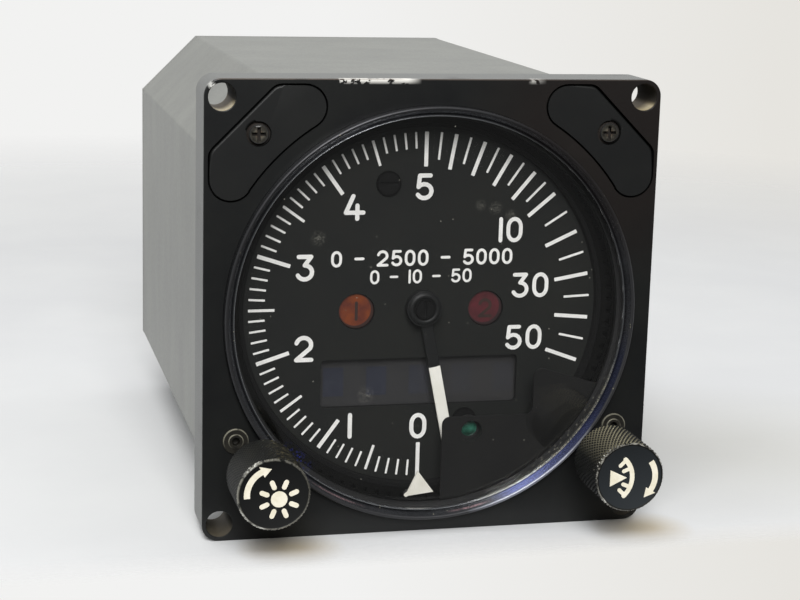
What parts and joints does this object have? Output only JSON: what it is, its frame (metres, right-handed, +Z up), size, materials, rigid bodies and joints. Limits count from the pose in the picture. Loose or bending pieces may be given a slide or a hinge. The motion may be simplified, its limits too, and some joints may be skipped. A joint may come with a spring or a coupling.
{
  "type": "radar altimeter indicator",
  "caption": "Square-flanged panel indicator with a round window, a geared pointer and limit marker, two knurled knobs and an eight-sided case.",
  "frame": {"origin": "middle of the four panel holes, on the rear face of the flange", "axes": "+Y runs from the front face to the rear, +Z is up, +X is to the right seen from the front"},
  "size_m": [0.0826, 0.1443, 0.0826],
  "materials": {
    "black_enamel": "semi-matt black enamel on cast and milled aluminium, worn to grey at the edges",
    "case_enamel": "satin black enamel on sheet aluminium",
    "ring_anodise": "turned aluminium, black anodised with a faint violet cast",
    "window": "clear flat glass",
    "black_rubber": "moulded black rubber",
    "dial_black": "matt black paint on the aluminium dial",
    "mask_black": "matt black paint on thin aluminium",
    "marking_white": "matt off-white paint",
    "lens_green": "clear green plastic",
    "lens_amber": "frosted amber plastic",
    "lens_red": "dark frosted red plastic",
    "smoked_plastic": "smoked acrylic",
    "dark_screw": "blackened steel, worn in the recess",
    "zinc_steel": "zinc-plated steel",
    "ground_steel": "ground stainless steel",
    "brass": "cut brass",
    "plate_aluminium": "milled aluminium with a clear chromate",
    "bulb_glass": "small filament bulbs with moulded bases",
    "knob_black": "knurled aluminium, black anodised, worn at the edges",
    "blue_housing": "moulded thermosetting plastic",
    "motor_can": "turned aluminium can",
    "circuit_green": "glass-epoxy board with green resist",
    "chip_black": "moulded epoxy packages",
    "core_brown": "varnished laminations and taped winding",
    "ribbon_grey": "flat vinyl-covered cable",
    "connector_olive": "plated aluminium shell",
    "insert_red": "moulded silicone insulator"
  },
  "bodies": {
    "root": {"bezel": "black_enamel", "bezel_ring": "ring_anodise", "window_glass": "window", "window_gasket": "black_rubber", "window_mask": "mask_black", "mask_lens": "lens_green", "cover_left": "black_enamel", "cover_right": "black_enamel", "cover_screws": "dark_screw", "bushing_screws": "dark_screw", "edge_lamps": "bulb_glass", "dial_carrier": "mask_black", "dial": "dial_black", "dial_screws": "dark_screw", "shaft_bearings": "brass", "servo_motor": "motor_can", "feedback_pot": "blue_housing", "front_plate": "plate_aluminium", "mid_plate": "plate_aluminium", "rear_plate": "plate_aluminium", "chassis_posts": "plate_aluminium", "chassis_screws": "zinc_steel", "lamp_amber": "lens_amber", "lamp_red": "lens_red", "lamp_bulbs": "bulb_glass", "display_window": "smoked_plastic", "display_module": "chip_black", "display_board": "circuit_green", "brt_pot": "blue_housing", "knob_bushings": "ring_anodise", "set_spring": "ground_steel", "set_housing": "plate_aluminium", "test_switch": "chip_black", "circuit_boards": "circuit_green", "board_parts": "chip_black", "power_module": "core_brown", "wire_ribbon": "ribbon_grey", "case": "case_enamel", "case_gasket": "black_rubber", "rear_cover": "case_enamel", "rear_screws": "zinc_steel", "rear_connector": "connector_olive", "connector_insert": "insert_red", "connector_screws": "zinc_steel"},
    "pointer": {"pointer": "marking_white", "pointer_screw": "dark_screw", "pointer_shaft": "ground_steel", "pointer_gear": "brass"},
    "idler": {"idler_pinion": "ground_steel", "idler_gear": "brass"},
    "motor_rotor": {"motor_pinion": "ground_steel"},
    "feedback": {"pot_gear": "brass"},
    "bug": {"bug_ring": "ring_anodise", "bug": "marking_white"},
    "plunger": {"set_plunger": "brass"},
    "set_knob": {"set_knob": "knob_black", "set_shaft": "ground_steel", "set_clip": "zinc_steel"},
    "brt_knob": {"brt_knob": "knob_black", "brt_shaft": "ground_steel"}
  },
  "joints": [
    {"name": "pointer_turn", "type": "hinge", "parent": "root", "child": "pointer", "pos_m": [0, 0, -0.001], "axis": [0, 1, 0], "range_deg": [0, 302]},
    {"name": "idler_turn", "type": "hinge", "parent": "root", "child": "idler", "pos_m": [-0.01131, 0, 0.01031], "axis": [0, 1, 0], "range_deg": [-906, 0]},
    {"name": "motor_turn", "type": "hinge", "parent": "root", "child": "motor_rotor", "pos_m": [-0.02093, 0, 0.0007], "axis": [0, 1, 0], "range_deg": [0, 2944.5]},
    {"name": "feedback_turn", "type": "hinge", "parent": "root", "child": "feedback", "pos_m": [0.024, 0, -0.001], "axis": [0, 1, 0], "range_deg": [-302, 0]},
    {"name": "bug_turn", "type": "hinge", "parent": "root", "child": "bug", "pos_m": [0, 0, -0.001], "axis": [0, 1, 0], "range_deg": [0, 290]},
    {"name": "set_push", "type": "slide", "parent": "root", "child": "plunger", "axis": [0, 1, 0], "range_m": [0, 0.002], "stiffness_N_per_m": 300, "springref_m": -0.003, "deforming": ["set_spring"]},
    {"name": "set_turn", "type": "hinge", "parent": "plunger", "child": "set_knob", "pos_m": [0.03175, 0, -0.02674], "axis": [0, 1, 0], "range_deg": [-2142, 0]},
    {"name": "brt_turn", "type": "hinge", "parent": "root", "child": "brt_knob", "pos_m": [-0.03175, 0, -0.02674], "axis": [0, 1, 0], "range_deg": [-150, 150]}
  ],
  "couplings": [
    {"joint": "idler_turn", "follows": "pointer_turn", "ratio": -3},
    {"joint": "motor_turn", "follows": "pointer_turn", "ratio": 9.75},
    {"joint": "feedback_turn", "follows": "pointer_turn", "ratio": -1},
    {"joint": "set_turn", "follows": "bug_turn", "ratio": -7.3846}
  ]
}
